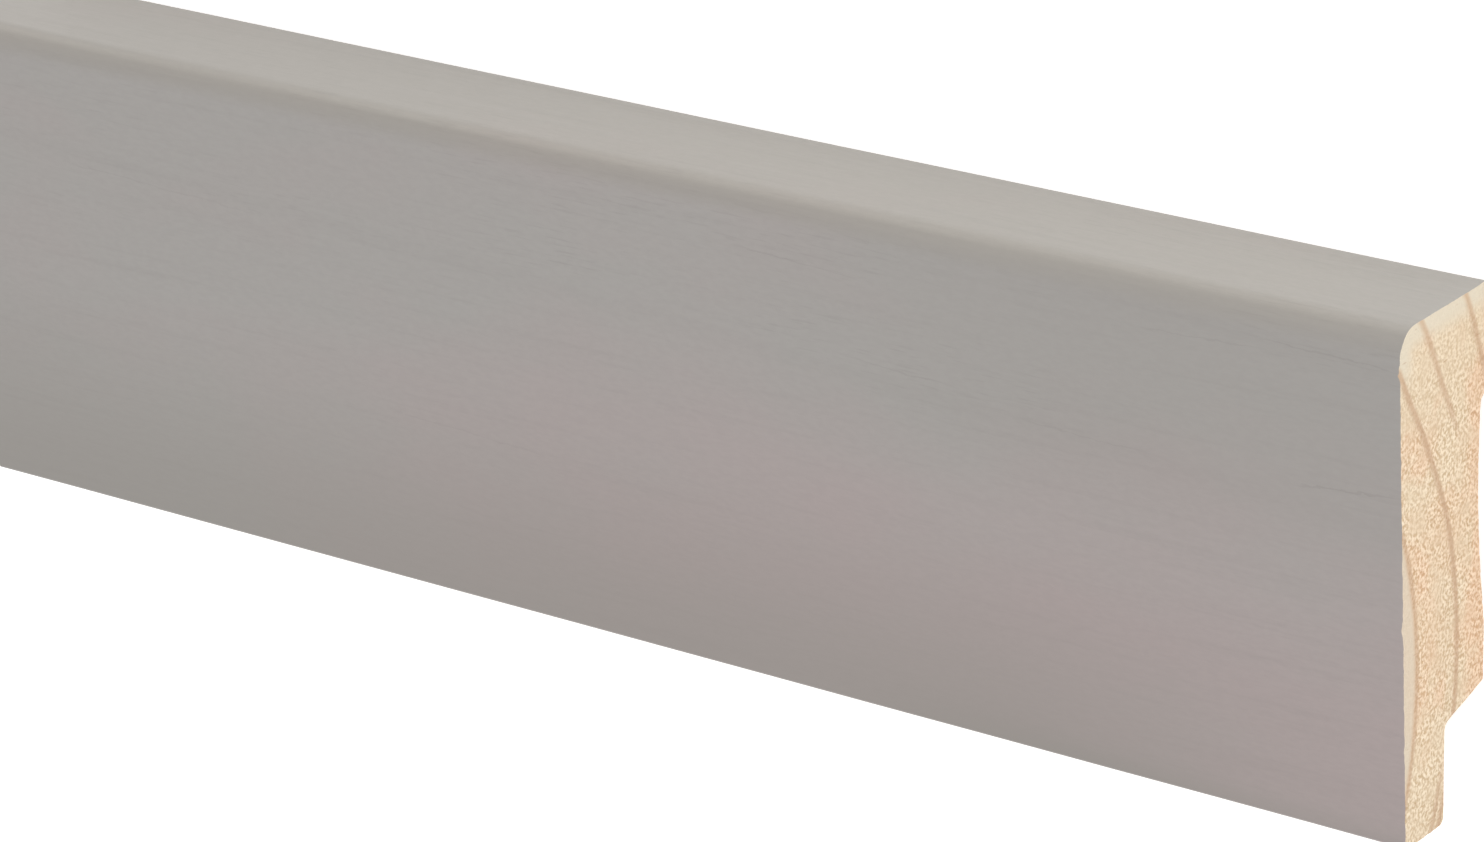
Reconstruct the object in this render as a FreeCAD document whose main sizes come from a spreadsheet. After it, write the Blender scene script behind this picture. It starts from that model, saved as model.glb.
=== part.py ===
import FreeCAD, Part

import os

import Sketcher

# Skirting board length: one moulded strip of solid softwood, cut square at both ends.
# X runs along the board and Y up its height, with the top edge at +Y and the foot at -Y.
# Z runs through its thickness: the wall side lies on z = 0 and the show face looks up.
# The origin is on the wall side, at the middle of the length and of the height.

NODE = "skirting_board"

DIMENSIONS = [
    # The blank, measured to its faces before any edge is worked.
    ("board_length", 197.0),
    ("board_height", 58.0),
    ("top_thickness", 18.0),
    # The show face leans back towards the foot, so the foot is thinner than the top.
    ("foot_thickness", 15.7),
    # Rounded nose between the show face and the top edge.
    ("nose_radius", 3.0),
    # Cable rebate at the back of the foot. Its roof rises towards the wall.
    ("rebate_depth", 8.0),
    ("rebate_height_inside", 11.3),
    ("rebate_height_wall", 13.4),
    ("rebate_corner_radius", 1.0),
    # Shallow hollow in the wall side, between a lower and an upper bearing land.
    # Both ends are heights above the foot. The upper end has a short steep lip.
    ("hollow_start", 20.4),
    ("hollow_end", 46.3),
    ("hollow_lip", 1.1),
    ("hollow_lip_depth", 1.4),
    ("hollow_mid_depth", 1.5),
    # Eased arrises, each a small radius along the whole length.
    ("top_back_arris", 0.6),
    ("foot_front_arris", 0.6),
    ("foot_back_arris", 0.8),
    ("roof_arris", 0.3),
    # How far a cutter runs past the wood that it removes.
    ("cutter_overrun", 2.0),
]

doc = FreeCAD.newDocument("skirting_board_length")

sheet = doc.addObject("Spreadsheet::Sheet", "Dimensions")
for row, (alias, size) in enumerate(DIMENSIONS, start=1):
    sheet.set("A%d" % row, alias)
    sheet.set("B%d" % row, "%g" % size)
    sheet.setAlias("B%d" % row, alias)
doc.recompute()


def value(expression):
    """Return the present value in millimetres of an expression over the sheet."""
    return float(sheet.evalExpression(expression))


def cross_plane(body):
    """Return the body's own origin plane that lies square across the board."""
    for feature in body.Origin.OriginFeatures:
        if feature.Role == "YZ_Plane":
            return feature
    raise RuntimeError("no plane across the board")


def section_sketch(body, name):
    """Add an empty sketch of the cross section.

    The sketch's first axis runs up the height and its second through the thickness.
    """
    sketch = body.newObject("Sketcher::SketchObject", name)
    sketch.AttachmentSupport = (cross_plane(body), [""])
    sketch.MapMode = "FlatFace"
    return sketch


def pin(sketch, geometry, vertex, height, depth):
    """Fix one vertex by its signed distances from the origin along both axes."""
    for kind, expression in (("DistanceX", height), ("DistanceY", depth)):
        size = value(expression)
        constraint = Sketcher.Constraint(kind, -1, 1, geometry, vertex, size)
        index = sketch.addConstraint(constraint)
        sketch.setExpression("Constraints[%d]" % index, expression)


def draw_outline(sketch, corners):
    """Draw straight edges through all corners in turn and close the outline.

    Each corner is a pair of expressions: its height and its depth.
    """
    points = [FreeCAD.Vector(value(y), value(z), 0) for y, z in corners]
    count = len(points)
    for index, start in enumerate(points):
        sketch.addGeometry(Part.LineSegment(start, points[(index + 1) % count]), False)
    for index in range(count):
        following = (index + 1) % count
        sketch.addConstraint(Sketcher.Constraint("Coincident", index, 2, following, 1))
    for index, (height, depth) in enumerate(corners):
        pin(sketch, index, 1, height, depth)


def long_edge(feature, height, depth):
    """Name the straight edge that runs the whole length at one place in the section."""
    y, z = value(height), value(depth)
    for index, edge in enumerate(feature.Shape.Edges, start=1):
        ends = [vertex.Point for vertex in edge.Vertexes]
        if len(ends) != 2 or abs(ends[0].x - ends[1].x) < 0.5 * value("Dimensions.board_length"):
            continue
        if all(abs(end.y - y) < 1e-4 and abs(end.z - z) < 1e-4 for end in ends):
            return "Edge%d" % index
    raise RuntimeError("no long edge at height %g, depth %g" % (y, z))


def cut_along(body, sketch, name):
    """Run a cutter with the sketched section along the whole board."""
    before = body.Tip.Shape.Volume
    pocket = body.newObject("PartDesign::Pocket", name)
    pocket.Profile = sketch
    pocket.Type = "Length"
    pocket.Midplane = True
    pocket.Length = value("Dimensions.board_length + 2 * Dimensions.cutter_overrun")
    pocket.setExpression("Length", "Dimensions.board_length + 2 * Dimensions.cutter_overrun")
    body.Tip = pocket
    doc.recompute()
    if not pocket.Shape.Volume < before - 1.0:
        raise RuntimeError(name + " removes no wood")
    return pocket


def round_edge(body, name, height, depth, radius):
    """Round one long edge of the board's present shape."""
    base = body.Tip
    edge = long_edge(base, height, depth)
    fillet = body.newObject("PartDesign::Fillet", name)
    fillet.Base = (base, [edge])
    fillet.Radius = value(radius)
    fillet.setExpression("Radius", radius)
    body.Tip = fillet
    doc.recompute()
    return fillet


board = doc.addObject("PartDesign::Body", "Board")
board.Label = NODE

# Levels in the section, as heights and depths from the origin.
FOOT = "-Dimensions.board_height / 2"
TOP = "Dimensions.board_height / 2"
WALL = "0 * Dimensions.board_height"
BEHIND_WALL = "-Dimensions.cutter_overrun"
BELOW_FOOT = FOOT + " - Dimensions.cutter_overrun"
SHOW_TOP = "Dimensions.top_thickness"
SHOW_FOOT = "Dimensions.foot_thickness"

# Blank: the four faces of the strip, padded to both sides of the origin.
blank_sketch = section_sketch(board, "BlankSection")
draw_outline(blank_sketch, [(FOOT, WALL), (TOP, WALL), (TOP, SHOW_TOP), (FOOT, SHOW_FOOT)])
doc.recompute()
blank = board.newObject("PartDesign::Pad", "Blank")
blank.Profile = blank_sketch
blank.Type = "Length"
blank.Midplane = True
blank.Length = value("Dimensions.board_length")
blank.setExpression("Length", "Dimensions.board_length")
board.Tip = blank
doc.recompute()

# Nose: the rounded corner where the show face meets the top edge.
round_edge(board, "Nose", TOP, SHOW_TOP, "Dimensions.nose_radius")

# Cable rebate: the lower back corner is taken out, which leaves a thin foot in front.
rebate_inside = FOOT + " + Dimensions.rebate_height_inside"
rebate_wall = FOOT + " + Dimensions.rebate_height_wall"
rebate_sketch = section_sketch(board, "RebateSection")
draw_outline(
    rebate_sketch,
    [
        (BELOW_FOOT, BEHIND_WALL),
        (rebate_wall, BEHIND_WALL),
        (rebate_wall, WALL),
        (rebate_inside, "Dimensions.rebate_depth"),
        (BELOW_FOOT, "Dimensions.rebate_depth"),
    ],
)
doc.recompute()
cut_along(board, rebate_sketch, "CableRebate")
round_edge(
    board,
    "RebateCorner",
    rebate_inside,
    "Dimensions.rebate_depth",
    "Dimensions.rebate_corner_radius",
)

# Hollow: an arc from the lower land to the lip, then the lip's short slope.
hollow_low = FOOT + " + Dimensions.hollow_start"
hollow_high = FOOT + " + Dimensions.hollow_end"
lip_low = hollow_high + " - Dimensions.hollow_lip"
hollow_mid = FOOT + " + (Dimensions.hollow_start + Dimensions.hollow_end - Dimensions.hollow_lip) / 2"
hollow_corners = [
    (lip_low, "Dimensions.hollow_lip_depth"),
    (hollow_high, WALL),
    (hollow_high, BEHIND_WALL),
    (hollow_low, BEHIND_WALL),
    (hollow_low, WALL),
]
hollow_points = [FreeCAD.Vector(value(y), value(z), 0) for y, z in hollow_corners]
deepest = FreeCAD.Vector(value(hollow_mid), value("Dimensions.hollow_mid_depth"), 0)

hollow_sketch = section_sketch(board, "HollowSection")
for start, end in zip(hollow_points[:-1], hollow_points[1:]):
    hollow_sketch.addGeometry(Part.LineSegment(start, end), False)
arc = hollow_sketch.addGeometry(Part.Arc(hollow_points[-1], deepest, hollow_points[0]), False)
middle = hollow_sketch.addGeometry(Part.Point(deepest), True)
last_line = len(hollow_corners) - 2
for index in range(last_line):
    hollow_sketch.addConstraint(Sketcher.Constraint("Coincident", index, 2, index + 1, 1))
for index, (height, depth) in enumerate(hollow_corners[:-1]):
    pin(hollow_sketch, index, 1, height, depth)
pin(hollow_sketch, last_line, 2, *hollow_corners[-1])

# The arc is drawn anticlockwise in the sketch, so its ends are matched by position.
arc_start = hollow_sketch.getPoint(arc, 1)
starts_low = abs(arc_start.x - hollow_points[-1].x) < abs(arc_start.x - hollow_points[0].x)
low_end, high_end = (1, 2) if starts_low else (2, 1)
hollow_sketch.addConstraint(Sketcher.Constraint("Coincident", arc, low_end, last_line, 2))
hollow_sketch.addConstraint(Sketcher.Constraint("Coincident", arc, high_end, 0, 1))
pin(hollow_sketch, middle, 1, hollow_mid, "Dimensions.hollow_mid_depth")
hollow_sketch.addConstraint(Sketcher.Constraint("PointOnObject", middle, 1, arc))
doc.recompute()
cut_along(board, hollow_sketch, "WallHollow")

# Eased arrises. The upper corners of the nose and the hollow stay as cut.
round_edge(board, "TopBackArris", TOP, WALL, "Dimensions.top_back_arris")
round_edge(board, "FootFrontArris", FOOT, SHOW_FOOT, "Dimensions.foot_front_arris")
round_edge(board, "FootBackArris", FOOT, "Dimensions.rebate_depth", "Dimensions.foot_back_arris")
round_edge(board, "RoofArris", rebate_wall, WALL, "Dimensions.roof_arris")

board.Placement = FreeCAD.Placement(FreeCAD.Vector(0, 0, 0), FreeCAD.Rotation())
doc.recompute()

for item in doc.Objects:
    if "Invalid" in item.State or "Error" in item.State:
        raise RuntimeError("%s failed: %s" % (item.Name, item.State))
if board.Shape.isNull() or not board.Shape.isValid() or len(board.Shape.Solids) != 1:
    raise RuntimeError("the board is not one valid solid")

os.makedirs("parts", exist_ok=True)
board.Shape.exportStep("parts/" + NODE + ".step")

box = board.Shape.BoundBox
print("board %.2f x %.2f x %.2f mm" % (box.XLength, box.YLength, box.ZLength))
print("volume %.1f mm3" % board.Shape.Volume)
print("centre of mass %s" % board.Shape.CenterOfGravity)
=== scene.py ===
import logging
import math
from dataclasses import dataclass, field
from enum import Enum
from typing import Any

import bpy
import numpy as np
from mathutils import Matrix, Vector


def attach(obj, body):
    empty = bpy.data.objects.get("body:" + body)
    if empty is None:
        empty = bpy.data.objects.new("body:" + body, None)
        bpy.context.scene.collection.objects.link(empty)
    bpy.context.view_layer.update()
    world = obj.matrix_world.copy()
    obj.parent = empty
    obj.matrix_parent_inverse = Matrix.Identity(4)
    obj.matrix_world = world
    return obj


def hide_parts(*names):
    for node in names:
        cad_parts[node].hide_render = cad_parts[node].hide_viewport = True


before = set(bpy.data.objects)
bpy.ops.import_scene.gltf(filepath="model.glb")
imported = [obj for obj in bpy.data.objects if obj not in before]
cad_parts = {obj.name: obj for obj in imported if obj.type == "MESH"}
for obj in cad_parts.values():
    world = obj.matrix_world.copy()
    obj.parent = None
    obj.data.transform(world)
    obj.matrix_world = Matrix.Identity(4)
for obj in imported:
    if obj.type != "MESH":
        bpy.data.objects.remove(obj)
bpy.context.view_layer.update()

log = logging.getLogger("skirting_board")

NODE = "skirting_board"
MM = 0.001

Socket = bpy.types.NodeSocket
Rgba = tuple[float, float, float, float]


def linear(hex_colour: str) -> Rgba:
    """Turn an sRGB hex colour into linear light.

    Args:
        hex_colour: Six hex digits after a hash sign.

    Returns:
        Red, green, blue and an alpha of one, as shader sockets want them.
    """
    channels = [int(hex_colour[i:i + 2], 16) / 255 for i in (1, 3, 5)]
    light = [c / 12.92 if c <= 0.04045 else ((c + 0.055) / 1.055) ** 2.4 for c in channels]
    return (light[0], light[1], light[2], 1.0)


def add_node(
    tree: bpy.types.NodeTree,
    kind: str,
    inputs: dict[str | int, Any] | tuple[Any, ...] = (),
    output: str | int = 0,
    **settings: Any,
) -> Socket | None:
    """Add one node with its settings, values and links.

    Args:
        tree: The node tree that takes the node.
        kind: The node's type name after "ShaderNode".
        inputs: Values, or sockets to link from, in the inputs' order or by name or number.
        output: Name or number of the output that is wanted.
        **settings: Properties set on the node itself.

    Returns:
        The wanted output, or None where the node has none.
    """
    node = tree.nodes.new("ShaderNode" + kind)
    for name, setting in settings.items():
        setattr(node, name, setting)
    for key, content in (inputs if isinstance(inputs, dict) else dict(enumerate(inputs))).items():
        if isinstance(content, Socket):
            tree.links.new(content, node.inputs[key])
        else:
            node.inputs[key].default_value = content
    return node.outputs[output] if len(node.outputs) else None


# ---------------------------------------------------------------- cross section


class Side(Enum):
    """The two long outlines of the cross section."""

    WALL = "wall"
    SHOW = "show"


@dataclass(frozen=True)
class Section:
    """Cross section of the moulding in millimetres, as the solid has it.

    Heights run up the board from its middle, and depths run from the wall to the show face.
    """

    height: float = 58.0
    top_thickness: float = 18.0
    foot_thickness: float = 15.7
    nose_radius: float = 3.0
    rebate_depth: float = 8.0
    rebate_height_inside: float = 11.3
    rebate_height_wall: float = 13.4
    rebate_corner_radius: float = 1.0
    hollow_start: float = 20.4
    hollow_end: float = 46.3
    hollow_lip: float = 1.1
    hollow_lip_depth: float = 1.4
    hollow_mid_depth: float = 1.5
    top_back_arris: float = 0.6
    foot_front_arris: float = 0.6
    foot_back_arris: float = 0.8
    roof_arris: float = 0.3
    spacing: float = 0.42
    columns_across: int = 44

    @property
    def foot(self) -> float:
        """Height of the foot's underside."""
        return -self.height / 2

    @property
    def top(self) -> float:
        """Height of the top edge."""
        return self.height / 2

    def hollow_arc(self, count: int = 61) -> np.ndarray:
        """Points on the hollow's arc, from the lower land up to the lip.

        The arc is the circle through three points: the lower land's edge, the middle at
        its own depth, and the foot of the lip.

        Args:
            count: Number of points.

        Returns:
            Heights and depths, one row each.
        """
        start = np.array([self.foot + self.hollow_start, 0.0])
        end = np.array([self.foot + self.hollow_end - self.hollow_lip, self.hollow_lip_depth])
        middle = np.array([(start[0] + end[0]) / 2, self.hollow_mid_depth])
        rows = 2 * np.array([middle - start, end - start])
        sums = np.array([middle @ middle - start @ start, end @ end - start @ start])
        centre = np.linalg.solve(rows, sums)
        radius = np.hypot(*(start - centre))
        turn = np.arctan2(*(np.stack([start, end])[:, ::-1] - centre[::-1]).T)
        angle = np.linspace(turn[0], turn[1], count)
        return centre + radius * np.column_stack([np.cos(angle), np.sin(angle)])

    def corners(self, side: Side) -> list[tuple[float, float, float]]:
        """List one outline's corners from foot to top as height, depth and radius.

        Args:
            side: Which outline is meant.

        Returns:
            The corners, with one helper point before and one after the outline.
        """
        inner = self.rebate_depth + self.foot_back_arris
        if side is Side.SHOW:
            return [
                (self.foot, inner, 0.0),
                (self.foot, self.foot_thickness, self.foot_front_arris),
                (self.top, self.top_thickness, self.nose_radius),
                (self.top, inner, 0.0),
            ]
        hollow = [(float(y), float(z), 0.0) for y, z in self.hollow_arc()]
        return [
            (self.foot, self.foot_thickness - self.foot_front_arris, 0.0),
            (self.foot, self.rebate_depth, self.foot_back_arris),
            (self.foot + self.rebate_height_inside, self.rebate_depth, self.rebate_corner_radius),
            (self.foot + self.rebate_height_wall, 0.0, self.roof_arris),
            *hollow,
            (self.foot + self.hollow_end, 0.0, 0.0),
            (self.top, 0.0, self.top_back_arris),
            (self.top, inner, 0.0),
        ]

    def outline(self, side: Side) -> np.ndarray:
        """Round an outline's corners with tangent arcs.

        Each rounded corner is left at radius over the tangent of half its angle, and an
        arc about the centre on the corner's bisector joins the two tangent points.

        Args:
            side: Which outline is meant.

        Returns:
            Heights and depths from foot to top, one row each.
        """
        corners = self.corners(side)
        pieces: list[np.ndarray] = []
        for before, here, after in zip(corners[:-2], corners[1:-1], corners[2:]):
            point, radius = np.array(here[:2]), here[2]
            if radius == 0.0:
                pieces.append(point[None, :])
                continue
            back = np.array(before[:2]) - point
            on = np.array(after[:2]) - point
            back, on = back / np.hypot(*back), on / np.hypot(*on)
            half = math.acos(float(np.clip(back @ on, -1, 1))) / 2
            bisector = (back + on) / np.hypot(*(back + on))
            centre = point + bisector * radius / math.sin(half)
            first = point + back * radius / math.tan(half) - centre
            last = point + on * radius / math.tan(half) - centre
            share = np.linspace(0, 1, max(7, int(radius * 6)))[:, None]
            turn = math.acos(float(np.clip(first @ last / radius**2, -1, 1)))
            pieces.append(centre + (np.sin((1 - share) * turn) * first + np.sin(share * turn) * last) / math.sin(turn))
        return np.concatenate(pieces)

    def heights(self) -> np.ndarray:
        """Heights of the grid's rows: even steps and every point of both outlines."""
        even = np.arange(self.foot, self.top, self.spacing)
        both = np.concatenate([even, self.outline(Side.WALL)[:, 0], self.outline(Side.SHOW)[:, 0]])
        grain = 0.04
        inside = np.unique(np.round(both / grain) * grain)
        inside = inside[(inside > self.foot + grain / 2) & (inside < self.top - grain / 2)]
        return np.concatenate([[self.foot], inside, [self.top]])

    def depth_at(self, side: Side, heights: np.ndarray) -> np.ndarray:
        """Depths of one outline at the given heights.

        Args:
            side: Which outline is meant.
            heights: Heights in millimetres.

        Returns:
            One depth for each height.
        """
        line = self.outline(side)
        return np.interp(heights, line[:, 0], line[:, 1])


@dataclass
class BoundaryLoop:
    """The section's edge as one closed run of points, anticlockwise seen from the right end."""

    section: Section
    points: np.ndarray = field(init=False)
    normals: np.ndarray = field(init=False)
    travelled: np.ndarray = field(init=False)
    rows: int = field(init=False)

    def __post_init__(self) -> None:
        """Collect the points of the wall outline, top edge, show outline and foot."""
        heights = self.section.heights()
        wall = np.column_stack([heights, self.section.depth_at(Side.WALL, heights)])
        show = np.column_stack([heights, self.section.depth_at(Side.SHOW, heights)])
        share = np.linspace(0, 1, self.section.columns_across)[1:-1, None]
        top_edge = wall[-1] + (show[-1] - wall[-1]) * share
        foot_edge = show[0] + (wall[0] - show[0]) * share
        self.rows = len(heights)
        self.points = np.concatenate([wall, top_edge, show[::-1], foot_edge])
        ahead = np.roll(self.points, -1, axis=0) - self.points
        length = np.hypot(*ahead.T)
        unit = ahead / length[:, None]
        tangent = unit + np.roll(unit, 1, axis=0)
        tangent /= np.hypot(*tangent.T)[:, None]
        self.normals = np.column_stack([tangent[:, 1], -tangent[:, 0]])
        self.travelled = np.concatenate([[0.0], np.cumsum(length)[:-1]])

    def wall_rows(self) -> np.ndarray:
        """Numbers of the loop's points along the wall outline, from foot to top."""
        return np.arange(self.rows)

    def show_rows(self) -> np.ndarray:
        """Numbers of the loop's points along the show outline, from foot to top."""
        first = self.rows + self.section.columns_across - 2
        return first + np.arange(self.rows)[::-1]

    def grid_numbers(self) -> np.ndarray:
        """Numbers of the loop's points round the edge of the end grid.

        Returns:
            A grid of rows by columns that holds the loop's numbers on its edge and
            minus one inside.
        """
        across = self.section.columns_across
        grid = np.full((self.rows, across), -1, dtype=int)
        grid[:, 0] = self.wall_rows()
        grid[:, -1] = self.show_rows()
        grid[-1, 1:-1] = self.rows + np.arange(across - 2)
        grid[0, 1:-1] = (2 * self.rows + across - 2 + np.arange(across - 2))[::-1]
        return grid

    def coat_reach(self) -> np.ndarray:
        """Distance along the loop into the lacquered stretch, in millimetres.

        The coat runs from the start of the top back arris, over the top edge, nose and
        show face, to the middle of the foot's front arris. Bare wood is negative.

        Returns:
            One signed distance for each point.
        """
        start = self.travelled[self.rows - 1] - 1.4 * self.section.top_back_arris
        end = self.travelled[self.show_rows()[0]] + 0.25 * self.section.foot_front_arris
        return np.minimum(self.travelled - start, end - self.travelled)

    def nose_share(self) -> np.ndarray:
        """How far round the nose each point lies.

        Returns:
            Zero on the top edge, rising to one at the start of the show face.
        """
        section = self.section
        lean = (section.top_thickness - section.foot_thickness) / section.height
        centre = section.top - section.nose_radius
        turned = np.arctan2(self.normals[:, 1], self.normals[:, 0]) / (math.pi / 2 + lean)
        beyond = (centre - self.points[:, 0]) / section.nose_radius
        on_show = self.points[:, 1] > section.rebate_depth
        return np.where(on_show, np.where(beyond > 0, 1 + beyond, np.clip(turned, 0, 1)), 0.0)


# ---------------------------------------------------------------------- surface


@dataclass(frozen=True)
class Undulation:
    """A smooth random surface: a sum of sine waves with seeded directions and phases."""

    seed: int
    shortest: float
    longest: float
    stretch: float = 1.0
    count: int = 28

    def at(self, along: np.ndarray, across: np.ndarray) -> np.ndarray:
        """Height of the surface, about minus one to one.

        Args:
            along: Distance along the stretched direction, in millimetres.
            across: Distance across it, in millimetres.

        Returns:
            The sum of the waves over the root of their number, at each point.
        """
        draw = np.random.default_rng(self.seed)
        heading = draw.uniform(0, 2 * math.pi, self.count)
        wave = 2 * math.pi / np.exp(draw.uniform(math.log(self.shortest), math.log(self.longest), self.count))
        phase = draw.uniform(0, 2 * math.pi, self.count)
        u = along[..., None] / self.stretch
        v = across[..., None]
        return np.sin(wave * (u * np.cos(heading) + v * np.sin(heading)) + phase).sum(axis=-1) / math.sqrt(self.count)


class End(Enum):
    """The two sawn ends, by the sign of their place along the board."""

    LEFT = -1
    RIGHT = 1


@dataclass(frozen=True)
class Chip:
    """A place on a sawn edge where the coat has flaked off, in millimetres."""

    end: End
    height: float
    half_width: float
    size: float


@dataclass
class Board:
    """The board: a section carried along its length, closed by two sawn ends."""

    section: Section = field(default_factory=Section)
    length: float = 197.0
    station_spacing: float = 2.4
    chips: tuple[Chip, ...] = (
        Chip(End.RIGHT, 24.6, 0.7, 0.24),
        Chip(End.RIGHT, -3.6, 0.7, 0.16),
        Chip(End.LEFT, 8.0, 1.1, 0.25),
        Chip(End.LEFT, -20.5, 0.8, 0.2),
    )

    def stations(self) -> np.ndarray:
        """Places of the rings along the board, closer together near both ends."""
        half = self.length / 2
        near = half - np.array([0.9, 1.8, 3.0, 4.6])
        middle = np.linspace(-half + 6.6, half - 6.6, int(self.length / self.station_spacing))
        return np.concatenate([-near, middle, near[::-1]])

    def edge_break(self, loop: BoundaryLoop, end: End) -> np.ndarray:
        """Size of the broken edge between a sawn end and the faces round it.

        A small even break is made rougher by an undulation. It is larger on the wall
        side, where the saw came out, and grows to each chip's size by a bell curve.

        Args:
            loop: The section's edge.
            end: Which end is meant.

        Returns:
            One size in millimetres for each point of the loop.
        """
        rough = Undulation(seed=41 + end.value, shortest=0.5, longest=5.0)
        noise = rough.at(loop.travelled, np.zeros_like(loop.travelled))
        wall_side = np.clip(1 - loop.points[:, 1] / 4, 0, 1)
        size = 0.07 + 0.028 * noise + wall_side * (0.05 + 0.06 * np.maximum(noise, 0) ** 2)
        on_show = loop.normals[:, 1] > 0.5
        for chip in self.chips:
            if chip.end is end:
                bell = np.exp(-(((loop.points[:, 0] - chip.height) / chip.half_width) ** 2) * 1.4)
                size = size + on_show * bell * chip.size * (1 + 0.3 * noise)
        return np.clip(size, 0.03, None)

    def relief(self, loop: BoundaryLoop, place: np.ndarray) -> np.ndarray:
        """Depth of the long faces' slight unevenness, in millimetres.

        A long, low undulation is stretched along the grain. It fades at both ends.

        Args:
            loop: The section's edge.
            place: Places along the board.

        Returns:
            A grid of stations by loop points, never above the drawn section.
        """
        grain = Undulation(seed=7, shortest=3.0, longest=26.0, stretch=9.0)
        height = grain.at(place[:, None], loop.travelled[None, :])
        fade = np.clip((self.length / 2 - np.abs(place)) / 12, 0, 1)[:, None]
        return (0.012 * height - 0.03) * fade

    def saw_marks(self, end: End, height: np.ndarray, depth: np.ndarray) -> np.ndarray:
        """Depth of the saw's marks on an end.

        The marks are arcs about the blade's far centre, one for each tooth's feed, with
        an undulation that varies their depth.

        Args:
            end: Which end is meant.
            height: Heights of the points.
            depth: Depths of the points.

        Returns:
            How far each point lies inside the end's plane, in millimetres.
        """
        blade_radius, feed = 125.0, 1.9
        centre = (64.0 * end.value, -0.93 * blade_radius)
        away = np.hypot(height - centre[0], depth - centre[1])
        mark = 0.5 + 0.5 * np.cos(2 * math.pi * away / feed)
        rough = Undulation(seed=90 + end.value, shortest=1.2, longest=9.0)
        strength = 0.5 + 0.35 * rough.at(height, depth)
        fine = Undulation(seed=77 + end.value, shortest=0.9, longest=2.2, count=40)
        return 0.02 + 0.022 * mark * np.clip(strength, 0, 1) + 0.012 * (1 + fine.at(height, depth)).clip(0, 2)

    def build(self) -> bpy.types.Object:
        """Make the board's mesh, with its three finishes and its attributes.

        Returns:
            The board as one closed object, placed by its mesh.
        """
        loop = BoundaryLoop(self.section)
        count = len(loop.points)
        place = self.stations()
        half = self.length / 2

        relief = self.relief(loop, place)
        flat = loop.points[None, :, :] + loop.normals[None, :, :] * relief[..., None]
        rings = [np.dstack([np.broadcast_to(place[:, None], relief.shape), flat])]
        breaks = {end: self.edge_break(loop, end) for end in End}
        left = [self.ring(loop, -half + 0.02, breaks[End.LEFT] * 0.8), self.ring(loop, -half + breaks[End.LEFT], 0.0)]
        right = [self.ring(loop, half - breaks[End.RIGHT], 0.0), self.ring(loop, half - 0.02, breaks[End.RIGHT] * 0.8)]
        points = np.concatenate([*left, *rings, *right])
        ring_count = len(points)

        number = np.arange(ring_count * count).reshape(ring_count, count)
        following = np.roll(number, -1, axis=1)
        quads = np.stack([number[:-1], following[:-1], following[1:], number[1:]], axis=-1)
        reach = np.broadcast_to(loop.coat_reach(), quads.shape[:2])
        finish = np.where(reach > -1.2, Finish.LACQUER.value, Finish.PLANED.value)
        finish[[0, -1]] = Finish.SAWN.value

        vertices = [points.reshape(-1, 3)]
        faces = [quads.reshape(-1, 4)]
        slots = [finish.reshape(-1)]
        next_number = ring_count * count
        for end, ring in ((End.LEFT, 0), (End.RIGHT, ring_count - 1)):
            grid = loop.grid_numbers()
            wall, show = points[ring, grid[:, 0]], points[ring, grid[:, -1]]
            share = np.linspace(0, 1, grid.shape[1])[None, :, None]
            surface = wall[:, None, :] + (show - wall)[:, None, :] * share
            inside = surface[1:-1, 1:-1].copy()
            inside[..., 0] = end.value * (half - self.saw_marks(end, inside[..., 1], inside[..., 2]))
            grid = np.where(grid >= 0, grid + ring * count, grid)
            grid[1:-1, 1:-1] = next_number + np.arange(inside[..., 0].size).reshape(inside.shape[:2])
            next_number += inside[..., 0].size
            cap = np.stack([grid[:-1, :-1], grid[1:, :-1], grid[1:, 1:], grid[:-1, 1:]], axis=-1).reshape(-1, 4)
            vertices.append(inside.reshape(-1, 3))
            faces.append(cap if end is End.RIGHT else cap[:, ::-1])
            slots.append(np.full(len(cap), Finish.SAWN.value))

        everything = np.concatenate(vertices)
        mesh = bpy.data.meshes.new("board_surface")
        mesh.from_pydata((everything * MM).tolist(), [], np.concatenate(faces).tolist())
        mesh.polygons.foreach_set("material_index", np.concatenate(slots).astype(np.int32))
        self.write_attributes(mesh, loop, everything, ring_count)
        mesh.validate()
        mesh.shade_smooth()
        mesh.set_sharp_from_angle(angle=math.radians(32))
        board = bpy.data.objects.new("board", mesh)
        bpy.context.scene.collection.objects.link(board)
        return board

    def ring(self, loop: BoundaryLoop, place: float | np.ndarray, inset: float | np.ndarray) -> np.ndarray:
        """One ring round the board, drawn in along the loop's normals.

        Args:
            loop: The section's edge.
            place: Place along the board, for all points or each one.
            inset: How far the points lie inside the section.

        Returns:
            The ring's points as a single row of a grid.
        """
        count = len(loop.points)
        drawn_in = loop.points - loop.normals * np.broadcast_to(inset, count)[:, None]
        return np.column_stack([np.broadcast_to(place, count), drawn_in])[None]

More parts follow.
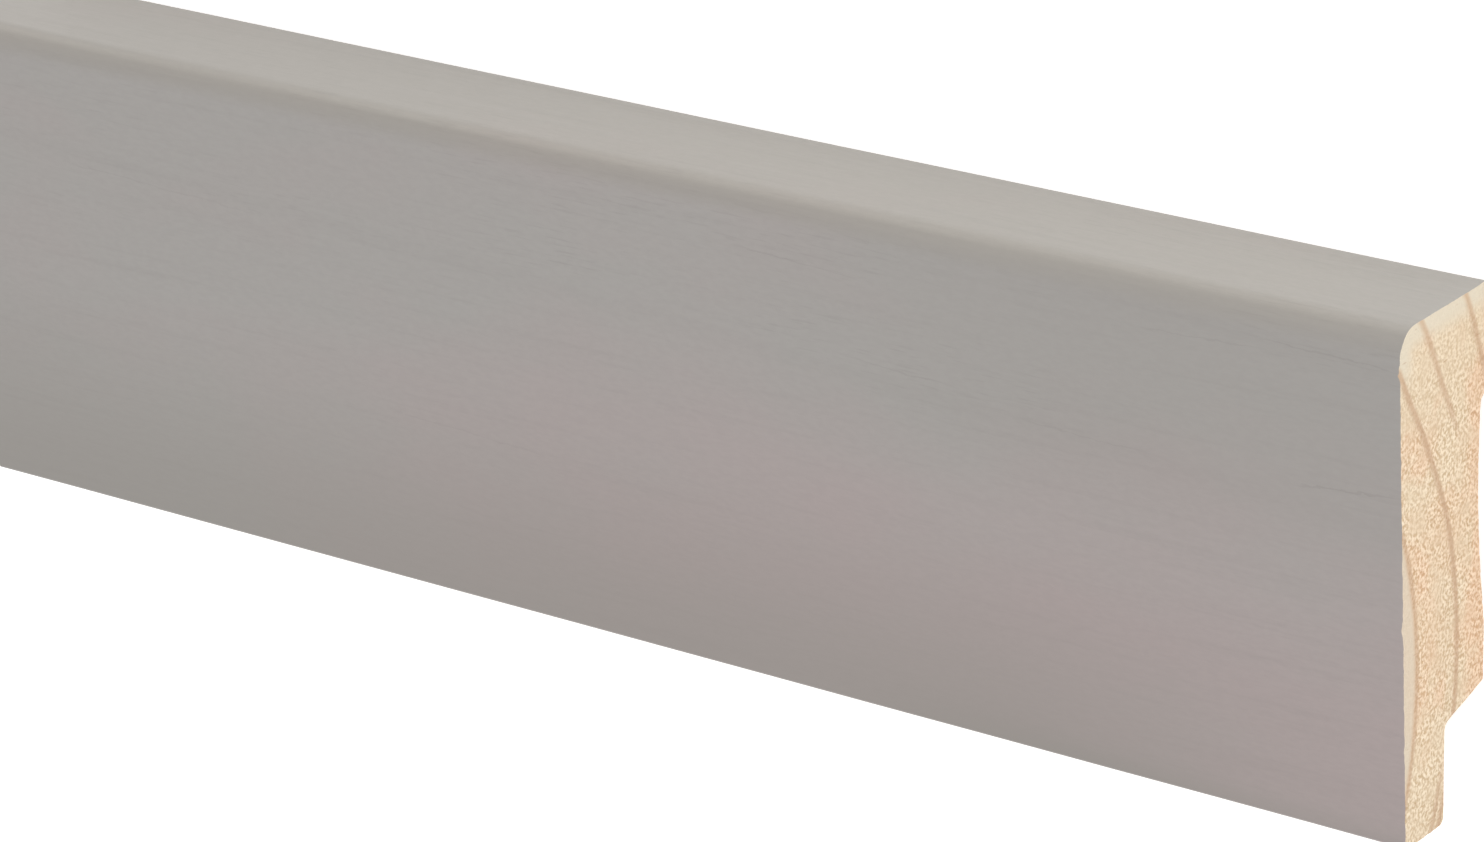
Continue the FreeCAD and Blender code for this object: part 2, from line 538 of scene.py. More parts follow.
    def write_attributes(self, mesh: bpy.types.Mesh, loop: BoundaryLoop, points: np.ndarray, rings: int) -> None:
        """Store what the finishes follow at each vertex.

        Args:
            mesh: The board's mesh.
            loop: The section's edge.
            points: Every vertex in millimetres.
            rings: Number of rings round the board.
        """
        around = rings * len(loop.points)
        coat = loop.coat_reach()
        coated = loop.points[coat > 0]
        away = np.full(len(points), 9.0)
        inside = points[around:, 1:]
        for part in np.array_split(np.arange(len(inside)), 40):
            gap = inside[part, None, :] - coated[None, :, :]
            away[around + part] = np.sqrt((gap**2).sum(axis=-1)).min(axis=1)
        away[:around] = np.tile(np.where(coat > 0, 0.0, -coat), rings)
        reach = np.zeros(len(points))
        reach[:around] = np.tile(coat, rings)
        nose = np.zeros(len(points))
        nose[:around] = np.tile(loop.nose_share(), rings)
        for name, content in (("coat_reach", reach), ("nose_share", nose), ("coat_away", away)):
            layer = mesh.attributes.new(name, "FLOAT", "POINT")
            layer.data.foreach_set("value", content.astype(np.float32))


# --------------------------------------------------------------------- finishes


class Finish(Enum):
    """The board's finishes, by the number of their material slot."""

    LACQUER = 0
    PLANED = 1
    SAWN = 2


@dataclass(frozen=True)
class ShortRing:
    """A growth ring that shows only between two heights on the end, in millimetres."""

    radius: float
    strength: float
    lowest: float
    highest: float


@dataclass(frozen=True)
class GrowthRings:
    """The tree's rings inside the board, in millimetres.

    The pith lies in front of the show face, so the rings bow towards the wall. Each ring
    darkens slowly outwards and ends sharply. The radii are those on the right end.
    """

    pith_height: float = -10.06
    pith_depth: float = 60.28
    drift_height: float = 0.012
    drift_depth: float = -0.02
    reference: float = 98.5
    radii: tuple[float, ...] = (33.6, 40.1, 46.6, 54.75, 67.2, 73.6)
    strengths: tuple[float, ...] = (0.8, 0.7, 0.9, 1.0, 0.9, 0.85)
    short: tuple[ShortRing, ...] = (ShortRing(60.1, 0.85, 11.5, 40.0), ShortRing(53.4, 0.9, -40.0, -19.5))
    late_wood: tuple[tuple[float, float], ...] = ((-0.95, 0.1), (-0.27, 1.0), (0.06, 0.9), (0.38, 0.0))
    innermost: float = 30.0
    span: float = 50.0
    settle: float = 30.0
    unevenness: tuple[tuple[float, float, float], ...] = ((3.0, 14.0, 0.5), (19.0, 31.0, -1.4))

    def radius(self, tree: bpy.types.NodeTree, parts: bpy.types.Node, place: Socket) -> Socket:
        """Add the distance from the pith.

        The pith slants slightly along the board. A slow noise bends the rings away from
        the right end, and smooth steps over the height make them uneven.

        Args:
            tree: The node tree.
            parts: The node that holds the three coordinates in millimetres.
            place: Place in millimetres.

        Returns:
            The distance in millimetres.
        """
        along = add_node(tree, "Math", (parts.outputs[0], self.reference), operation="SUBTRACT")
        squares = []
        for axis, drift, pith in ((1, self.drift_height, self.pith_height), (2, self.drift_depth, self.pith_depth)):
            reach = add_node(tree, "Math", (along, drift, parts.outputs[axis]), operation="MULTIPLY_ADD")
            reach = add_node(tree, "Math", (reach, pith), operation="SUBTRACT")
            squares.append(add_node(tree, "Math", (reach, 2.0), operation="POWER"))
        radius = add_node(tree, "Math", tuple(squares), operation="ADD")
        radius = add_node(tree, "Math", (radius,), operation="SQRT")
        slow = add_node(tree, "VectorMath", (place, (0.012, 0.07, 0.07)), operation="MULTIPLY")
        slow = add_node(tree, "TexNoise", {"Vector": slow, "Scale": 1.0, "Detail": 2.0, "Roughness": 0.45})
        bend = add_node(tree, "Math", (slow, 2.0, -1.0), operation="MULTIPLY_ADD")
        inward = add_node(tree, "Math", (along, -1 / self.settle), operation="MULTIPLY", use_clamp=True)
        radius = add_node(tree, "Math", (bend, inward, radius), operation="MULTIPLY_ADD")
        for low, high, shift in self.unevenness:
            step = add_node(
                tree, "MapRange", (parts.outputs[1], low, high, 0.0, shift), interpolation_type="SMOOTHSTEP"
            )
            radius = add_node(tree, "Math", (radius, step), operation="ADD")
        return radius

    def late(self, tree: bpy.types.NodeTree, parts: bpy.types.Node, radius: Socket) -> Socket:
        """Add the late wood.

        One ramp over the distance from the pith gives each ring its late wood. A short
        ring has a ramp of its own, held between its two heights.

        Args:
            tree: The node tree.
            parts: The node that holds the three coordinates in millimetres.
            radius: Distance from the pith in millimetres.

        Returns:
            A socket that is zero in early wood and up to one in late wood.
        """
        share = add_node(tree, "MapRange", (radius, self.innermost, self.innermost + self.span))
        late = self.ramp(tree, share, list(zip(self.radii, self.strengths)))
        for ring in self.short:
            line = self.ramp(tree, share, [(ring.radius, ring.strength)])
            for outer, inner in ((ring.lowest, ring.lowest + 6.5), (ring.highest, ring.highest - 6.5)):
                kept = add_node(tree, "MapRange", (parts.outputs[1], outer, inner), interpolation_type="SMOOTHSTEP")
                line = add_node(tree, "Math", (line, kept), operation="MULTIPLY")
            late = add_node(tree, "Math", (late, line), operation="MAXIMUM")
        return late

    def ramp(self, tree: bpy.types.NodeTree, share: Socket, rings: list[tuple[float, float]]) -> Socket:
        """Turn the distance from the pith into the late wood of some rings.

        Args:
            tree: The node tree.
            share: Distance from the pith as a share of the span.
            rings: Radius and strength of each ring, from the innermost outwards.

        Returns:
            The late wood, from zero to one.
        """
        late = add_node(tree, "ValToRGB", (share,))
        elements = late.node.color_ramp.elements
        for spot, end in zip(elements, (0.0, 1.0)):
            spot.position, spot.color = end, (0.0, 0.0, 0.0, 1.0)
        for radius, strength in rings:
            for offset, share_of_late in self.late_wood:
                level = share_of_late * strength
                elements.new((radius + offset - self.innermost) / self.span).color = (level, level, level, 1.0)
        return late


@dataclass(frozen=True)
class Grain:
    """An irregular pattern in wood or coat, by the real size of one grain in millimetres."""

    length: float
    height: float
    depth: float
    detail: float = 2.0
    roughness: float = 0.5


@dataclass(frozen=True)
class Pine:
    """Colours of bare pine, and the patterns that every finish of the board shares."""

    early: str = "#e2caab"
    early_pale: str = "#e4d6bb"
    early_warm: str = "#e6c6a6"
    late: str = "#b08456"
    speck_dark: str = "#d2c2b0"
    speck_light: str = "#fff0dc"
    patches: Grain = Grain(100.0, 9.1, 9.1)
    warm_patches: Grain = Grain(83.0, 6.2, 5.0)
    rings: GrowthRings = GrowthRings()

    def lay_out(self, tree: bpy.types.NodeTree, grains: dict[str, Grain]) -> dict[str, Socket]:
        """Add the place on the board and the patterns that a finish is drawn with.

        The place is the object's own coordinate in millimetres. Each pattern is a noise
        over that place, divided by the size of its grain.

        Args:
            tree: The node tree.
            grains: The finish's patterns by name.

        Returns:
            The place, its parts "along", "up" and "out", the distance from the pith,
            the late wood, and every pattern from zero to one.
        """
        place = add_node(tree, "TexCoord", output="Object")
        place = add_node(tree, "VectorMath", {0: place, "Scale": 1 / MM}, operation="SCALE")
        parts = add_node(tree, "SeparateXYZ", (place,)).node
        layout = {"place": place, "radius": self.rings.radius(tree, parts, place)}
        layout["late"] = self.rings.late(tree, parts, layout["radius"])
        layout.update(zip(("along", "up", "out"), parts.outputs))
        for name, grain in grains.items():
            size = (1 / grain.length, 1 / grain.height, 1 / grain.depth)
            scaled = add_node(tree, "VectorMath", (place, size), operation="MULTIPLY")
            made = {"Vector": scaled, "Scale": 1.0, "Detail": grain.detail, "Roughness": grain.roughness}
            layout[name] = add_node(tree, "TexNoise", made)
        return layout

    def bare_colour(self, tree: bpy.types.NodeTree, layout: dict[str, Socket], speck: Socket) -> Socket:
        """Colour bare wood.

        Broad warm and pale patches lie under the late wood's lines, and specks make it
        lighter and darker, but hardly in the late wood. It is warmer towards the wall and
        paler towards the top edge and the foot.

        Args:
            tree: The node tree.
            layout: The finish's place, late wood and patterns.
            speck: The specks, from zero to one.

        Returns:
            The wood's colour.
        """
        edgewards = add_node(tree, "Math", (layout["up"],), operation="ABSOLUTE")
        edgewards = add_node(tree, "MapRange", (edgewards, 10.0, 28.0, 0.0, 0.32), interpolation_type="SMOOTHSTEP")
        pale = add_node(tree, "Math", (layout["patches"], edgewards), operation="ADD")
        pale = add_node(tree, "MapRange", (pale, 0.36, 0.68), interpolation_type="SMOOTHSTEP")
        wallwards = add_node(tree, "MapRange", (layout["out"], 8.0, -2.0), interpolation_type="SMOOTHSTEP")
        warm = add_node(tree, "Math", (wallwards, 0.16, layout["warm_patches"]), operation="MULTIPLY_ADD")
        warm = add_node(tree, "Math", (edgewards, -0.6, warm), operation="MULTIPLY_ADD")
        warm = add_node(tree, "MapRange", (warm, 0.42, 0.72), interpolation_type="SMOOTHSTEP")
        late = add_node(tree, "Math", (layout["late"], 0.85), operation="MULTIPLY")
        colour = linear(self.early)
        for share, tint in ((pale, self.early_pale), (warm, self.early_warm), (late, self.late)):
            colour = add_node(tree, "Mix", {0: share, 6: colour, 7: linear(tint)}, 2, data_type="RGBA")
        calm = add_node(tree, "Math", (layout["late"], -0.75, 1.0), operation="MULTIPLY_ADD")
        speck = add_node(tree, "Math", (speck, 0.5), operation="SUBTRACT")
        speck = add_node(tree, "Math", (speck, calm, 0.5), operation="MULTIPLY_ADD")
        dark = {0: 1.0, 6: colour, 7: linear(self.speck_dark)}
        dark = add_node(tree, "Mix", dark, 2, data_type="RGBA", blend_type="MULTIPLY")
        light = add_node(tree, "Mix", {0: 0.5, 6: colour, 7: linear(self.speck_light)}, 2, data_type="RGBA")
        return add_node(tree, "Mix", {0: speck, 6: dark, 7: light}, 2, data_type="RGBA")


def new_material(name: str) -> tuple[bpy.types.Material, bpy.types.NodeTree]:
    """Make a material with an empty node tree.

    Args:
        name: The material's name.

    Returns:
        The material and its tree.
    """
    material = bpy.data.materials.new(name)
    material.use_nodes = True
    material.node_tree.nodes.clear()
    return material, material.node_tree


def raise_surface(tree: bpy.types.NodeTree, heights: dict[Any, float]) -> Socket:
    """Add up patterns into one relief.

    Args:
        tree: The node tree.
        heights: Patterns, each with its height in millimetres.

    Returns:
        The relief in millimetres.
    """
    relief: Any = 0.0
    for pattern, height in heights.items():
        relief = add_node(tree, "Math", (pattern, height, relief), operation="MULTIPLY_ADD")
    return relief


@dataclass(frozen=True)
class PlanedPine:
    """Bare pine as the moulder leaves it, for the wall side, rebate and foot."""

    name: str = "Planed bare pine"
    wood: Pine = Pine()
    # Real fibres are a tenth as wide. They are drawn as bundles, which is what still shows.
    fibres: Grain = Grain(30.0, 0.35, 0.35, 3.0, 0.6)
    knife_pitch: float = 1.4
    knife_depth: float = 0.0012
    fibre_height: float = 0.008
    late_height: float = 0.012
    roughness: float = 0.72
    specular: float = 0.3

    def add(self, tree: bpy.types.NodeTree, grains: dict[str, Grain]) -> tuple[Socket, Socket, dict[str, Socket]]:
        """Add the planed wood's colour and relief to a tree.

        The relief is a sine along the board, one wave for each cut of the knives, plus
        the fibres and the harder late wood, which stands proud.

        Args:
            tree: The node tree.
            grains: Further patterns that the finish over the wood needs.

        Returns:
            The colour, the relief in millimetres, and the place and patterns.
        """
        wood = self.wood
        own = {"fibres": self.fibres, "patches": wood.patches, "warm_patches": wood.warm_patches}
        layout = wood.lay_out(tree, own | grains)
        speck = add_node(tree, "MapRange", (layout["fibres"], 0.3, 0.7, 0.33, 0.67), interpolation_type="SMOOTHSTEP")
        colour = wood.bare_colour(tree, layout, speck)
        wave = add_node(tree, "Math", (layout["along"], 2 * math.pi / self.knife_pitch), operation="MULTIPLY")
        wave = add_node(tree, "Math", (wave,), operation="SINE")
        heights = {wave: self.knife_depth, layout["fibres"]: self.fibre_height, layout["late"]: self.late_height}
        return colour, raise_surface(tree, heights), layout

    def build(self) -> bpy.types.Material:
        """Make the material.

        Returns:
            The finished material.
        """
        # Pine planed by a spinning cutter looks dull and pale. Fine fibres run along the
        # board, and the knives leave faint waves that only a low light picks out.
        material, tree = new_material(self.name)
        colour, relief, _ = self.add(tree, {})
        bump = add_node(tree, "Bump", {"Height": relief, "Distance": MM, "Strength": 1.0})
        surface = {
            "Base Color": colour,
            "Roughness": self.roughness,
            "Specular IOR Level": self.specular,
            "Normal": bump,
        }
        add_node(tree, "OutputMaterial", (add_node(tree, "BsdfPrincipled", surface),))
        return material


@dataclass(frozen=True)
class SawnPine:
    """Pine end grain off a crosscut saw, for both ends."""

    name: str = "Sawn pine end grain"
    wood: Pine = Pine()
    # Cut fibres are a tenth of this size. They are drawn as torn bundles, which still show.
    torn: Grain = Grain(3.3, 0.42, 0.37, 2.0, 0.5)
    strokes: Grain = Grain(3.3, 0.31, 2.0, 1.0)
    clusters: Grain = Grain(10.0, 2.9, 2.9)
    strip: str = "#cfc5b5"
    strip_radius: float = 46.35
    nose: str = "#d5cfbf"
    nose_width: float = 3.4
    stroke: str = "#a9835f"
    torn_height: float = 0.12
    late_height: float = 0.04
    roughness: float = 0.9
    specular: float = 0.15

    def near_nose(self, tree: bpy.types.NodeTree, layout: dict[str, Socket]) -> Socket:
        """Find the pale wood behind the nose and the top edge.

        It ends where the distance from the lacquered edge passes the nose's width.

        Args:
            tree: The node tree.
            layout: The place and patterns.

        Returns:
            One at the nose and zero elsewhere.
        """
        away = add_node(tree, "Attribute", output="Fac", attribute_name="coat_away")
        near = (away, self.nose_width, 0.25 * self.nose_width)
        near = add_node(tree, "MapRange", near, interpolation_type="SMOOTHSTEP")
        upper = add_node(tree, "MapRange", (layout["up"], 21.0, 26.0), interpolation_type="SMOOTHSTEP")
        return add_node(tree, "Math", (near, upper), operation="MULTIPLY")

    def build(self) -> bpy.types.Material:
        """Make the material.

        Returns:
            The finished material.
        """
        # A saw across the grain tears the fibres, so the end looks matt, light and finely
        # speckled. The growth rings cross it as thin brown arcs, and the wood inside the
        # last ring before the show face is smoother and greyer.
        material, tree = new_material(self.name)
        wood = self.wood
        grains = {"torn": self.torn, "strokes": self.strokes, "clusters": self.clusters}
        grains |= {"patches": wood.patches, "warm_patches": wood.warm_patches}
        layout = wood.lay_out(tree, grains)
        nose = self.near_nose(tree, layout)
        inside = (layout["radius"], self.strip_radius, self.strip_radius - 0.35)
        inside = add_node(tree, "MapRange", inside, interpolation_type="SMOOTHSTEP")
        even = add_node(tree, "MapRange", (layout["clusters"], 0.3, 0.62, 0.45, 1.0), interpolation_type="SMOOTHSTEP")
        upper = add_node(tree, "MapRange", (layout["up"], 14.0, 26.0, 1.0, 0.64), interpolation_type="SMOOTHSTEP")
        for pale in (inside, nose):
            calm = add_node(tree, "Math", (pale, -0.7, 1.0), operation="MULTIPLY_ADD")
            even = add_node(tree, "Math", (even, calm), operation="MULTIPLY")
        even = add_node(tree, "Math", (even, upper), operation="MULTIPLY")
        speck = add_node(tree, "MapRange", (layout["torn"], 0.34, 0.66, -0.39, 0.39), interpolation_type="SMOOTHSTEP")
        speck = add_node(tree, "Math", (speck, even, 0.5), operation="MULTIPLY_ADD")
        colour = wood.bare_colour(tree, layout, speck)
        clear = add_node(tree, "Math", (layout["late"], -0.65, 0.65), operation="MULTIPLY_ADD")
        strip = add_node(tree, "Math", (inside, clear), operation="MULTIPLY")
        nose = add_node(tree, "Math", (nose, clear), operation="MULTIPLY")
        marks = add_node(tree, "MapRange", (layout["strokes"], 0.71, 0.79, 0.0, 0.4), interpolation_type="SMOOTHSTEP")
        for share, tint in ((strip, self.strip), (nose, self.nose), (marks, self.stroke)):
            colour = add_node(tree, "Mix", {0: share, 6: colour, 7: linear(tint)}, 2, data_type="RGBA")
        relief = raise_surface(tree, {layout["torn"]: self.torn_height, layout["late"]: self.late_height})
        bump = add_node(tree, "Bump", {"Height": relief, "Distance": MM, "Strength": 1.0})
        surface = {
            "Base Color": colour,
            "Roughness": self.roughness,
            "Specular IOR Level": self.specular,
            "Normal": bump,
        }
        add_node(tree, "OutputMaterial", (add_node(tree, "BsdfPrincipled", surface),))
        return material


@dataclass(frozen=True)
class GrainLine:
    """A line of the grain that shows through the coat, from one place to another in millimetres."""

    start: tuple[float, float]
    end: tuple[float, float]
    share: float = 0.2


@dataclass(frozen=True)
class GreyLacquer:
    """Warm grey lacquer sprayed over planed pine, for the show face, nose and top edge."""

    name: str = "Grey lacquer on planed pine"
    under: PlanedPine = PlanedPine()
    colour: str = "#a29d99"
    warm: str = "#aa9596"
    cool: str = "#9f9c99"
    yellow: str = "#a8a194"
    # Grey of the painted shade on the coat.
    painted_shade: str = "#8e8983"
    line: str = "#736e6a"
    tones: Grain = Grain(33.0, 17.0, 17.0, 3.0)
    streaks: Grain = Grain(33.0, 0.9, 0.9, 3.0, 0.6)
    dashes: Grain = Grain(4.5, 0.3, 0.3)
    clusters: Grain = Grain(50.0, 11.0, 11.0)
    mottle: Grain = Grain(1.3, 0.5, 0.5, 2.0, 0.6)
    ragged: Grain = Grain(2.9, 0.83, 0.83, 3.0, 0.6)
    peel: Grain = Grain(2.0, 2.0, 2.0)
    grain_lines: tuple[GrainLine, ...] = (
        GrainLine((28.0, 12.6), (46.0, 11.6), 0.13),
        GrainLine((50.0, 10.0), (70.0, 9.3), 0.11),
        GrainLine((84.0, 9.6), (100.0, 11.1), 0.19),
        GrainLine((14.0, 22.7), (34.0, 21.6), 0.12),
        GrainLine((66.0, 23.4), (84.0, 24.2), 0.14),
        GrainLine((80.0, 25.2), (100.0, 24.7), 0.18),
        GrainLine((-84.0, 14.2), (-52.0, 13.1), 0.1),
        GrainLine((-36.0, -7.5), (-11.0, -8.6), 0.1),
    )
    line_width: float = 0.18
    peel_height: float = 0.008
    streak_height: float = 0.016
    late_height: float = 0.008
    gloss: float = 0.4

    def warmth(self, tree: bpy.types.NodeTree, layout: dict[str, Socket]) -> Socket:
        """Find where the grey is warmer: towards the foot, right of the middle, in patches.

        Args:
            tree: The node tree.
            layout: The place and patterns.

        Returns:
            Zero for the cool grey to one for the warm grey.
        """
        down = add_node(tree, "MapRange", (layout["up"], 22.0, -20.0), interpolation_type="SMOOTHSTEP")
        right = add_node(tree, "MapRange", (layout["along"], -70.0, 0.0), interpolation_type="SMOOTHSTEP")
        corner = add_node(tree, "Math", (down, right), operation="MULTIPLY")
        tone = add_node(tree, "Math", (layout["tones"], 1.2, -0.6), operation="MULTIPLY_ADD")
        return add_node(tree, "Math", (tone, corner), operation="ADD", use_clamp=True)

    def lines(self, tree: bpy.types.NodeTree, layout: dict[str, Socket]) -> Socket:
        """Find the faint dark lines that the grain draws through the coat.

        Dashes, streaks and a fine mottle are added up. Each grain line is the band where
        a slightly unsteady height is near the straight run between the line's two places.

        Args:
            tree: The node tree.
            layout: The place and patterns.

        Returns:
            The lines' share, a few hundredths where they are faint.
        """
        dash = add_node(tree, "MapRange", (layout["dashes"], 0.55, 0.72, 0.0, 0.13), interpolation_type="SMOOTHSTEP")
        where = add_node(tree, "MapRange", (layout["clusters"], 0.4, 0.62), interpolation_type="SMOOTHSTEP")
        upper = add_node(tree, "MapRange", (layout["up"], 2.0, 14.0, 0.35, 1.0), interpolation_type="SMOOTHSTEP")
        for kept in (where, upper):
            dash = add_node(tree, "Math", (dash, kept), operation="MULTIPLY")
        streak = add_node(tree, "MapRange", (layout["streaks"], 0.5, 0.75, 0.0, 0.07), interpolation_type="SMOOTHSTEP")
        mottle = add_node(tree, "MapRange", (layout["mottle"], 0.3, 0.7, 0.0, 0.07), interpolation_type="SMOOTHSTEP")
        total = add_node(tree, "Math", (layout["late"], 0.04, dash), operation="MULTIPLY_ADD")
        for more in (streak, mottle):
            total = add_node(tree, "Math", (total, more), operation="ADD")
        level = add_node(tree, "Math", (layout["ragged"], 1.2, layout["up"]), operation="MULTIPLY_ADD")
        for line in self.grain_lines:
            (start, low), (end, high) = line.start, line.end
            middle = add_node(tree, "MapRange", (layout["along"], start, end, low + 0.6, high + 0.6))
            mark = add_node(tree, "Math", (level, middle, self.line_width / 2), operation="COMPARE")
            for outer, inner, share in ((start, start + 5.0, 1.0), (end, end - 5.0, line.share)):
                kept = (layout["along"], outer, inner, 0.0, share)
                kept = add_node(tree, "MapRange", kept, interpolation_type="SMOOTHSTEP")
                mark = add_node(tree, "Math", (mark, kept), operation="MULTIPLY")
            total = add_node(tree, "Math", (total, mark), operation="ADD")
        return total

    def painted_shade_share(self, tree: bpy.types.NodeTree, layout: dict[str, Socket]) -> Socket:
        """Find where the coat is darkened by painted shade.

        That is round the nose, along the foot, more widely on its left half, on the top
        edge towards the left end, and slightly on the show face's upper part towards the
        right end.

        Args:
            tree: The node tree.
            layout: The place and patterns.

        Returns:
            Zero for no painted shade to one for the darkest.
        """
        # Painted shade: darker round the nose, towards the foot, along the foot's arris, on the top edge's left and
        # the show face's upper right.
        nose = add_node(tree, "Attribute", output="Fac", attribute_name="nose_share")
        left = add_node(tree, "MapRange", (layout["along"], 60.0, -98.0), interpolation_type="SMOOTHSTEP")
        begin = add_node(tree, "MapRange", (nose, 0.22, 0.48), interpolation_type="SMOOTHSTEP")
        end = add_node(tree, "MapRange", (nose, 1.05, 0.62, 0.0, 0.45), interpolation_type="SMOOTHSTEP")
        round_nose = add_node(tree, "Math", (begin, end), operation="MULTIPLY")
        down = add_node(tree, "MapRange", (layout["up"], 1.0, -31.0, 0.0, 0.69), interpolation_type="SMOOTHSTEP")
        from_right = add_node(tree, "MapRange", (layout["along"], 110.0, 40.0), interpolation_type="SMOOTHSTEP")
        top = add_node(tree, "MapRange", (nose, 0.3, 0.1, 0.0, 0.35), interpolation_type="SMOOTHSTEP")
        top = add_node(tree, "Math", (top, left), operation="MULTIPLY")
        round_nose = add_node(tree, "Math", (round_nose, top), operation="ADD")
        right = add_node(tree, "MapRange", (layout["along"], 0.0, 70.0, 0.0, 0.2), interpolation_type="SMOOTHSTEP")
        for value, low, high in ((layout["up"], -4.0, 12.0), (nose, 0.5, 1.0)):
            kept = add_node(tree, "MapRange", (value, low, high), interpolation_type="SMOOTHSTEP")
            right = add_node(tree, "Math", (right, kept), operation="MULTIPLY")
        foot = add_node(tree, "MapRange", (layout["up"], -25.0, -29.0, 0.0, 0.3), interpolation_type="SMOOTHSTEP")
        kept = add_node(tree, "MapRange", (layout["along"], 20.0, 75.0), interpolation_type="SMOOTHSTEP")
        right = add_node(tree, "Math", (foot, kept, right), operation="MULTIPLY_ADD")
        painted_shade = add_node(tree, "Math", (down, from_right, round_nose), operation="MULTIPLY_ADD")
        return add_node(tree, "Math", (painted_shade, right), operation="ADD")

    def build(self) -> bpy.types.Material:
        """Make the material.

        Returns:
            The finished material.
        """
        # Lacquer sprayed over planed pine looks even, satin and faintly peeled. The wood's
        # fibres stand through it as soft lines along the board. Painted shade darkens it round
        # the nose, towards the foot and on parts of the top edge and show face, the top edge
        # lets a little of the wood's yellow through, and the coat ends in a ragged edge on the wood.
        own = {"tones": self.tones, "streaks": self.streaks, "dashes": self.dashes}
        own |= {"mottle": self.mottle, "clusters": self.clusters, "ragged": self.ragged, "peel": self.peel}
        material, tree = new_material(self.name)
        bare, bare_relief, layout = self.under.add(tree, own)
        nose = add_node(tree, "Attribute", output="Fac", attribute_name="nose_share")
        on_top = add_node(tree, "MapRange", (nose, 1.0, 0.3, 0.0, 0.4), interpolation_type="SMOOTHSTEP")
        layers = (
            (self.warmth(tree, layout), self.warm),
            (0.5, self.colour),
            (on_top, self.yellow),
            (self.lines(tree, layout), self.line),
            # Painted shade darkens the grey in the places found below.
            (self.painted_shade_share(tree, layout), self.painted_shade),
        )
        colour = linear(self.cool)
        for share, tint in layers:
            colour = add_node(tree, "Mix", {0: share, 6: colour, 7: linear(tint)}, 2, data_type="RGBA")

        reach = add_node(tree, "Attribute", output="Fac", attribute_name="coat_reach")
        edge = add_node(tree, "Math", (layout["ragged"], 0.9, reach), operation="MULTIPLY_ADD")
        coated = add_node(tree, "MapRange", (edge, 0.39, 0.55), interpolation_type="SMOOTHSTEP")
        colour = add_node(tree, "Mix", {0: coated, 6: bare, 7: colour}, 2, data_type="RGBA")

        heights = {layout["peel"]: self.peel_height, layout["streaks"]: self.streak_height}
        relief = raise_surface(tree, heights | {layout["late"]: self.late_height})
        relief = add_node(tree, "Mix", {0: coated, 2: bare_relief, 3: relief}, data_type="FLOAT")
        bump = add_node(tree, "Bump", {"Height": relief, "Distance": MM, "Strength": 1.0})
        rough = add_node(tree, "Math", (coated, -self.gloss, self.under.roughness), operation="MULTIPLY_ADD")
        rough = add_node(tree, "Math", (layout["peel"], 0.06, rough), operation="MULTIPLY_ADD")
        surface = {"Base Color": colour, "Roughness": rough, "Specular IOR Level": 0.5, "Normal": bump}
        add_node(tree, "OutputMaterial", (add_node(tree, "BsdfPrincipled", surface),))
        return material


# ----------------------------------------------------------------------- studio


@dataclass(frozen=True)
class PhotoCamera:
    """The camera's place, found by fitting the board's outline to the photograph."""

    eye: tuple[float, float, float] = (0.371698, 0.241349, 0.491516)
    forward: tuple[float, float, float] = (-0.55636, -0.374433, -0.741797)
    up: tuple[float, float, float] = (-0.196317, 0.926677, -0.320514)
    focal_pixels: float = 5874.4
    image_width: float = 1484.0

    def build(self) -> bpy.types.Object:
        """Make the camera and hand it to the scene.

        Returns:
            The camera.
        """
        data = bpy.data.cameras.new("photo_camera")
        data.sensor_width = 36.0
        data.lens = self.focal_pixels / self.image_width * data.sensor_width
        data.clip_start, data.clip_end = 0.01, 50.0
        back = -Vector(self.forward).normalized()
        right = Vector(self.up).cross(back).normalized()
        turn = Matrix((right, back.cross(right), back)).transposed()
        camera = bpy.data.objects.new("photo_camera", data)
        camera.matrix_world = Matrix.Translation(self.eye) @ turn.to_4x4()
        bpy.context.scene.collection.objects.link(camera)
        bpy.context.scene.camera = camera
        return camera


@dataclass(frozen=True)
class Softbox:
    """A square soft lamp, in metres and watts."""

    name: str
    place: tuple[float, float, float]
    size: float
    power: float

    def build(self, target: Vector) -> bpy.types.Object:
        """Hang the lamp and point it.

        Args:
            target: The point that it faces.

        Returns:
            The lamp.
        """
        data = bpy.data.lights.new(self.name, "AREA")
        data.shape, data.size, data.energy = "SQUARE", self.size, self.power
        lamp = bpy.data.objects.new(self.name, data)
        heading = target - Vector(self.place)
        lamp.matrix_world = Matrix.Translation(self.place) @ heading.to_track_quat("-Z", "Y").to_matrix().to_4x4()
        bpy.context.scene.collection.objects.link(lamp)
        return lamp


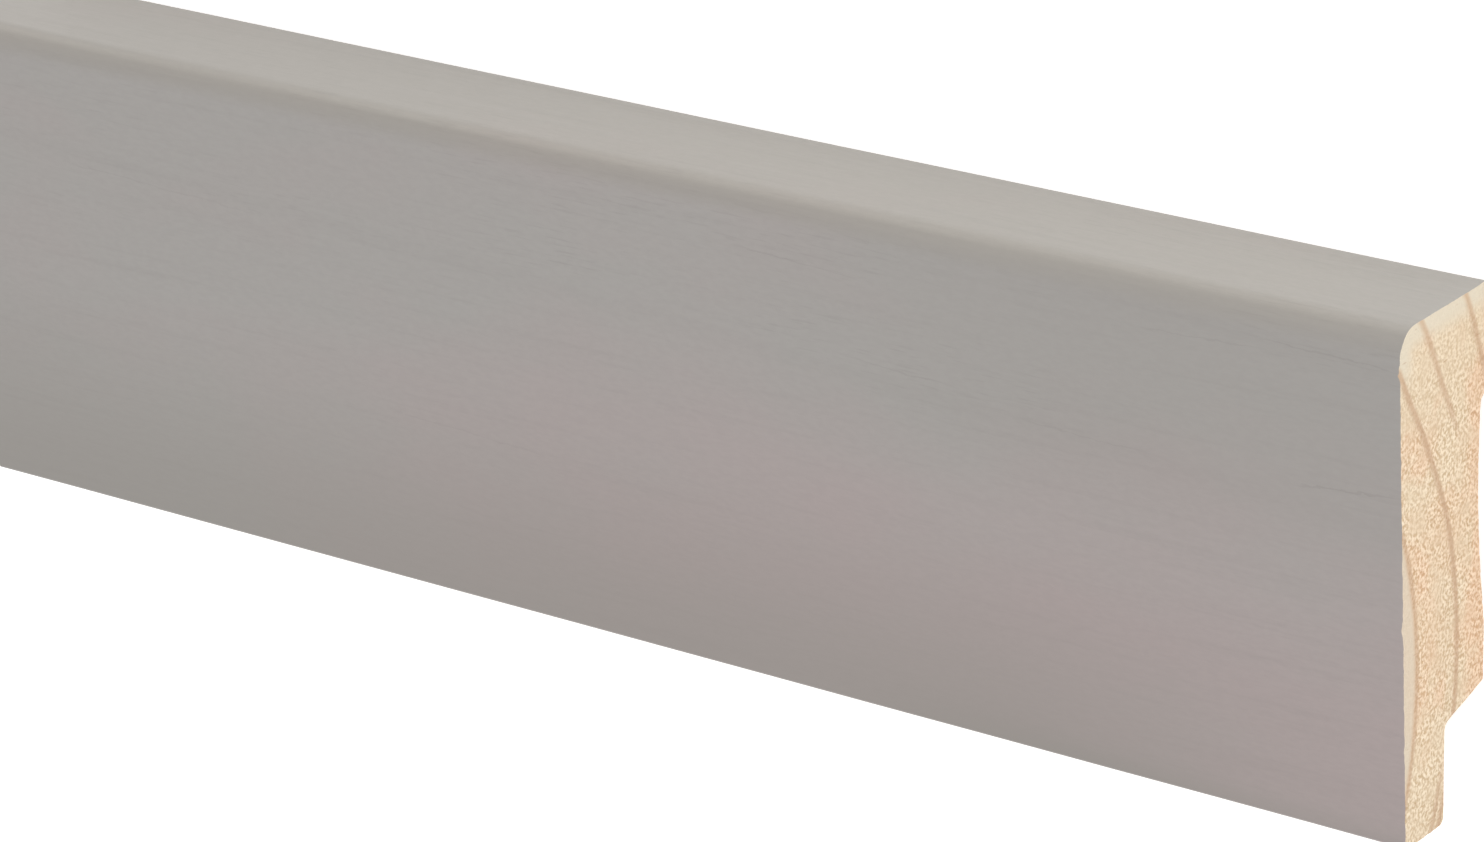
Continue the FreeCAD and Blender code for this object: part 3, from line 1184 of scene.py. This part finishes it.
@dataclass(frozen=True)
class Studio:
    """A white floor under even light, with one large lamp beyond the top edge."""

    ambient: float = 0.84
    floor_colour: str = "#f2f1ef"
    floor_fill: float = 0.55
    floor_fill_mirrored: float = 0.47
    floor_half: float = 6.0
    lamps: tuple[Softbox, ...] = (
        Softbox("top_edge_softbox", (0.48, 0.58, 0.44), 0.5, 1.6),
        Softbox("end_softbox", (0.95, 0.10, 0.22), 0.5, 2.1),
    )

    def build(self) -> None:
        """Light the scene and lay the floor."""
        for lamp in self.lamps:
            lamp.build(Vector((0.0, 0.0, 0.009)))
        self.light_world()
        self.lay_floor()

    def light_world(self) -> None:
        """Give the surroundings an even light, and white where they are seen."""
        world = bpy.data.worlds.new("white_studio")
        bpy.context.scene.world = world
        world.use_nodes = True
        tree = world.node_tree
        tree.nodes.clear()
        strength = self.seen(tree, {"Is Camera Ray": 1.0, "Is Glossy Ray": 1.0}, self.ambient)
        sky = add_node(tree, "Background", ((1.0, 1.0, 1.0, 1.0), strength))
        add_node(tree, "OutputWorld", (sky,))

    def seen(self, tree: bpy.types.NodeTree, levels: dict[str, float], otherwise: float) -> Socket:
        """Find a level that depends on how the background is looked at.

        Args:
            tree: The node tree.
            levels: The level for a direct look and for a mirrored one. A look through
                glass gets the direct one.
            otherwise: The level for plain light.

        Returns:
            The socket that carries the level.
        """
        path = add_node(tree, "LightPath").node
        level: Any = otherwise
        for ray, wanted in levels.items():
            level = add_node(tree, "Mix", {0: path.outputs[ray], 2: level, 3: wanted}, data_type="FLOAT")
        through = {0: path.outputs["Is Transmission Ray"], 2: level, 3: levels["Is Camera Ray"]}
        return add_node(tree, "Mix", through, data_type="FLOAT")

    def lay_floor(self) -> None:
        """Lay a flat white floor that keeps the board's shadow."""
        half = self.floor_half
        mesh = bpy.data.meshes.new("floor")
        mesh.from_pydata([(-half, -half, 0), (half, -half, 0), (half, half, 0), (-half, half, 0)], [], [(0, 1, 2, 3)])
        floor = bpy.data.objects.new("floor", mesh)
        bpy.context.scene.collection.objects.link(floor)
        material, tree = new_material("White studio floor")
        matt = add_node(tree, "BsdfDiffuse", (linear(self.floor_colour),))
        levels = {"Is Camera Ray": self.floor_fill, "Is Glossy Ray": self.floor_fill_mirrored}
        glow = add_node(tree, "Emission", ((1.0, 1.0, 1.0, 1.0), self.seen(tree, levels, 0.0)))
        add_node(tree, "OutputMaterial", (add_node(tree, "AddShader", (matt, glow)),))
        mesh.materials.append(material)


def main() -> None:
    """Build the board, dress it and light it."""
    bpy.context.scene.view_settings.view_transform = "Standard"
    board = Board().build()
    for material in (GreyLacquer().build(), PlanedPine().build(), SawnPine().build()):
        board.data.materials.append(material)
    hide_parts(NODE)
    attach(board, "root")
    log.info("board: %d faces", len(board.data.polygons))
    Studio().build()
    PhotoCamera().build()
    log.info("studio: lamps, floor and camera placed")


if __name__ == "__main__":
    logging.basicConfig(level=logging.INFO)
    main()
